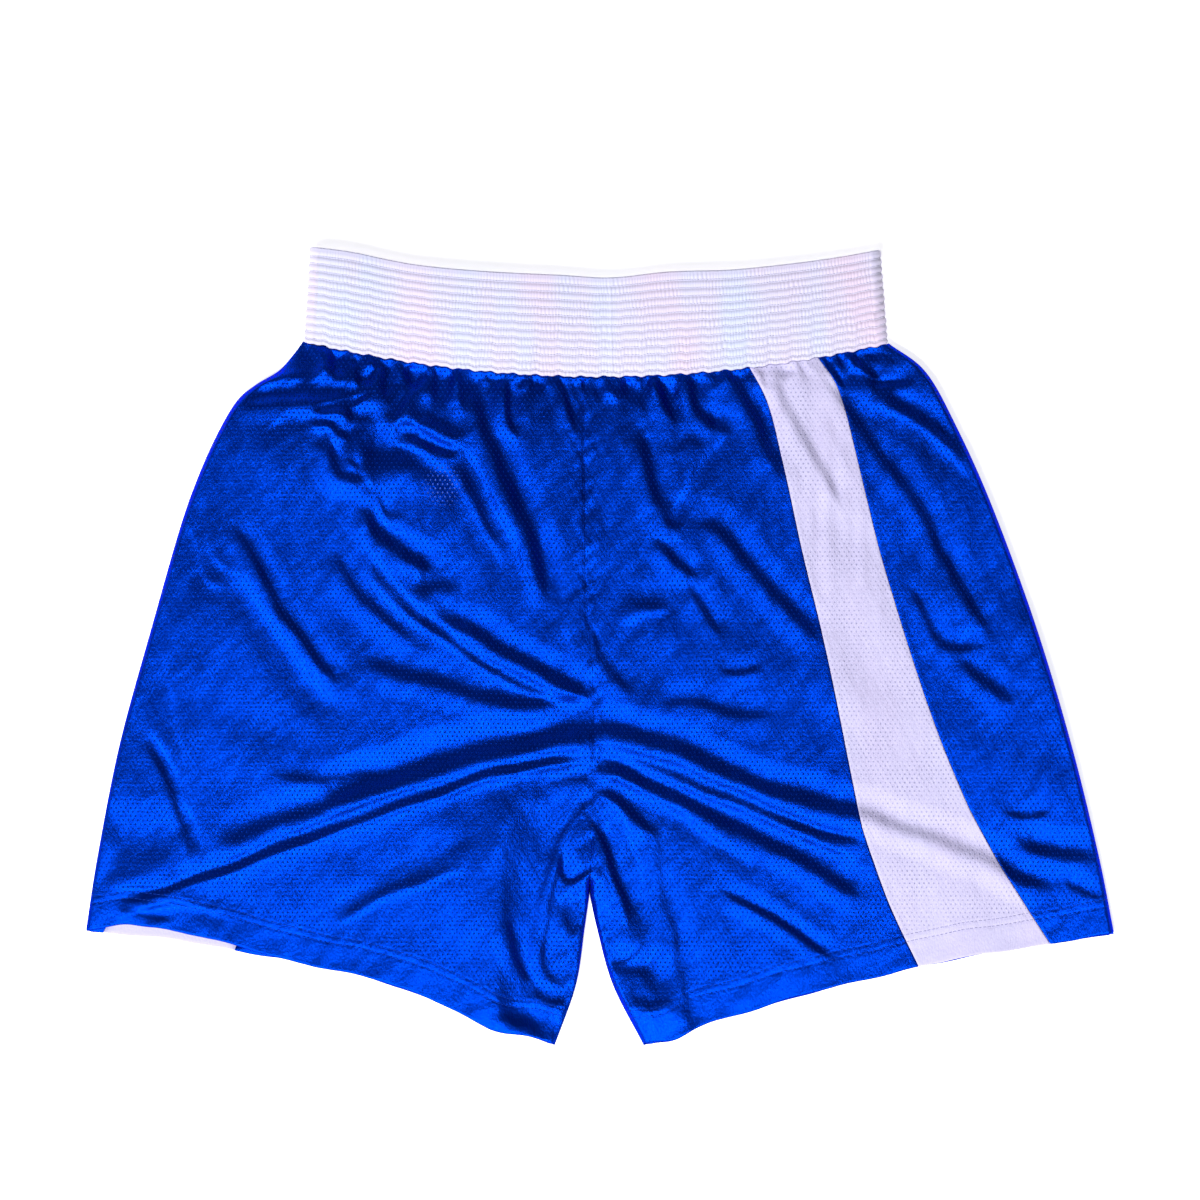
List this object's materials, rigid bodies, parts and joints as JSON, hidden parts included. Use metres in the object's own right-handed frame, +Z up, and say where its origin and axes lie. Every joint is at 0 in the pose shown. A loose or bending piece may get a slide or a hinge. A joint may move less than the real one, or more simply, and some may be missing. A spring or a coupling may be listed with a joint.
{
  "type": "boxing shorts",
  "caption": "Boxing shorts laid flat: shirred elastic waistband, wide mesh legs with turned-up hems, and a tapered stripe down one side of the front and the back.",
  "frame": {"origin": "on the floor under the middle of the object's box, where the laid garment's back rests", "axes": "+Z up out of the floor, from the garment's back to its front; +X across the garment towards the wearer's left side; +Y from the leg openings towards the waistband"},
  "size_m": [0.638, 0.4938, 0.015],
  "materials": {
    "blue_mesh": "satin",
    "white_mesh": "satin",
    "white_band": "satin",
    "elastic": "matte",
    "blue_thread": "satin",
    "white_thread": "satin",
    "label": "matte"
  },
  "bodies": {
    "root": {"right_front_panel": "blue_mesh", "left_back_panel": "blue_mesh", "left_front_inner_panel": "blue_mesh", "left_front_side_panel": "blue_mesh", "right_back_inner_panel": "blue_mesh", "right_back_side_panel": "blue_mesh", "left_front_stripe": "white_mesh", "right_back_stripe": "white_mesh", "waistband_casing": "white_band", "waistband_elastic": "elastic", "left_side_seam_thread": "blue_thread", "right_side_seam_thread": "blue_thread", "left_inseam_thread": "blue_thread", "right_inseam_thread": "blue_thread", "left_hem_thread_1": "blue_thread", "left_hem_thread_2": "blue_thread", "right_hem_thread_1": "blue_thread", "right_hem_thread_2": "blue_thread", "centre_front_seam_thread": "blue_thread", "centre_back_seam_thread": "blue_thread", "waist_seam_thread": "blue_thread", "left_front_stripe_inner_seam_thread": "white_thread", "left_front_stripe_outer_seam_thread": "white_thread", "right_back_stripe_inner_seam_thread": "white_thread", "right_back_stripe_outer_seam_thread": "white_thread", "waistband_join_thread": "white_thread", "waistband_thread_01": "white_thread", "waistband_thread_02": "white_thread", "waistband_thread_03": "white_thread", "waistband_thread_04": "white_thread", "waistband_thread_05": "white_thread", "waistband_thread_06": "white_thread", "waistband_thread_07": "white_thread", "waistband_thread_08": "white_thread", "waistband_thread_09": "white_thread", "waistband_thread_10": "white_thread", "waistband_thread_11": "white_thread", "waistband_thread_12": "white_thread", "size_label": "label"}
  },
  "joints": []
}
